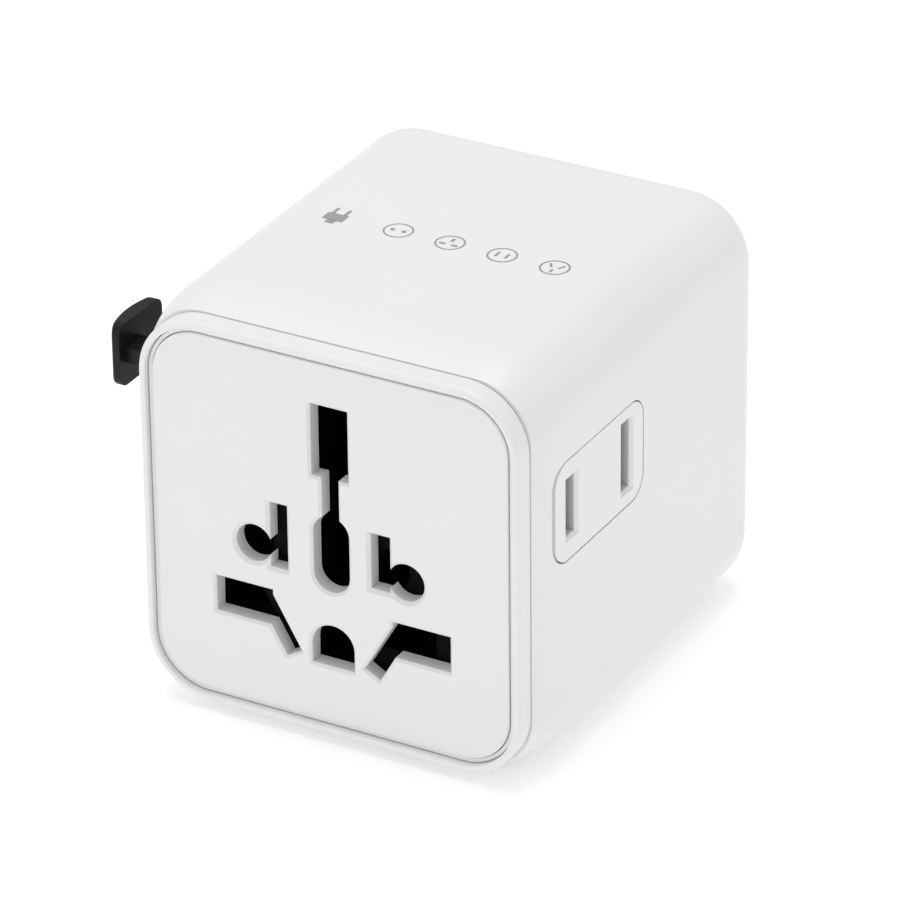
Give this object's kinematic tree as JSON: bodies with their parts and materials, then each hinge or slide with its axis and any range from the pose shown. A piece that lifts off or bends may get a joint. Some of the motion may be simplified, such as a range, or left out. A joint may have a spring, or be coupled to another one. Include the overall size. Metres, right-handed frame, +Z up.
{
  "type": "universal travel adapter",
  "caption": "Cube-shaped universal travel adapter with a world socket in front, a side outlet, and sliding plugs that come out of the back.",
  "frame": {"origin": "centre of the flat bottom face", "axes": "+Z up, socket face towards -Y, plugs slide out towards +Y, side outlet on +X"},
  "size_m": [0.0547, 0.055, 0.0495],
  "materials": {
    "white_shell": "satin moulded white",
    "white_face": "fine satin white",
    "black_inner": "matt black",
    "black_knob": "satin black",
    "black_sleeve": "matt black",
    "grey_carriage": "matt grey",
    "brass_contact": "stamped strip",
    "plated_pin": "nickel plated",
    "steel": "zinc plated",
    "ceramic": "ceramic white"
  },
  "bodies": {
    "casing": {"body_shell": "white_shell", "front_ring": "white_shell", "socket_plate": "white_face", "socket_block": "black_inner", "live_contact": "brass_contact", "neutral_contact": "brass_contact", "earth_contact": "brass_contact", "live_rails": "brass_contact", "neutral_rails": "brass_contact", "earth_rail": "brass_contact", "side_socket_insert": "white_face", "side_live_contact": "brass_contact", "side_neutral_contact": "brass_contact", "bulkhead": "grey_carriage", "back_plate": "white_face", "back_screws": "steel", "fuse_tube": "ceramic", "fuse_end_caps": "plated_pin", "fuse_clip": "brass_contact", "fuse_cap": "black_knob"},
    "shutter": {"safety_shutter": "black_inner", "shutter_spring": "steel"},
    "uk_plug": {"uk_carriage": "grey_carriage", "uk_line_pins": "plated_pin", "uk_line_sleeves": "black_sleeve", "uk_earth_pin": "plated_pin", "uk_knob_spring": "steel"},
    "eu_plug": {"eu_carriage": "grey_carriage", "eu_pins": "plated_pin", "eu_sleeves": "black_sleeve", "eu_knob_spring": "steel"},
    "us_plug": {"us_carriage": "grey_carriage", "us_blade_washers": "steel", "us_knob_spring": "steel"},
    "uk_button": {"uk_knob": "black_knob"},
    "eu_button": {"eu_knob": "black_knob"},
    "us_button": {"us_knob": "black_knob"},
    "blade_left": {"us_blade_left": "plated_pin"},
    "blade_right": {"us_blade_right": "plated_pin"}
  },
  "joints": [
    {"name": "uk_plug_slide", "type": "slide", "parent": "casing", "child": "uk_plug", "axis": [0, 1, 0], "range_m": [0, 0.0195]},
    {"name": "eu_plug_slide", "type": "slide", "parent": "casing", "child": "eu_plug", "axis": [0, 1, 0], "range_m": [0, 0.0195]},
    {"name": "us_plug_slide", "type": "slide", "parent": "casing", "child": "us_plug", "axis": [0, 1, 0], "range_m": [0, 0.0195]},
    {"name": "uk_button_press", "type": "slide", "parent": "uk_plug", "child": "uk_button", "axis": [1, 0, 0], "range_m": [0, 0.0015], "stiffness_N_per_m": 900, "springref_m": -0.001, "deforming": ["uk_knob_spring"]},
    {"name": "eu_button_press", "type": "slide", "parent": "eu_plug", "child": "eu_button", "axis": [1, 0, 0], "range_m": [0, 0.0015], "stiffness_N_per_m": 900, "springref_m": -0.001, "deforming": ["eu_knob_spring"]},
    {"name": "us_button_press", "type": "slide", "parent": "us_plug", "child": "us_button", "axis": [1, 0, 0], "range_m": [0, 0.0015], "stiffness_N_per_m": 900, "springref_m": -0.001, "deforming": ["us_knob_spring"]},
    {"name": "us_blade_left_turn", "type": "hinge", "parent": "us_plug", "child": "blade_left", "pos_m": [-0.00635, 0.004, 0.02935], "axis": [0, 1, 0], "range_deg": [-30, 0]},
    {"name": "us_blade_right_turn", "type": "hinge", "parent": "us_plug", "child": "blade_right", "pos_m": [0.00635, 0.004, 0.02935], "axis": [0, 1, 0], "range_deg": [0, 30]},
    {"name": "shutter_slide", "type": "slide", "parent": "casing", "child": "shutter", "axis": [1, 0, 0], "range_m": [0, 0.003], "stiffness_N_per_m": 250, "springref_m": -0.003, "deforming": ["shutter_spring"]}
  ]
}
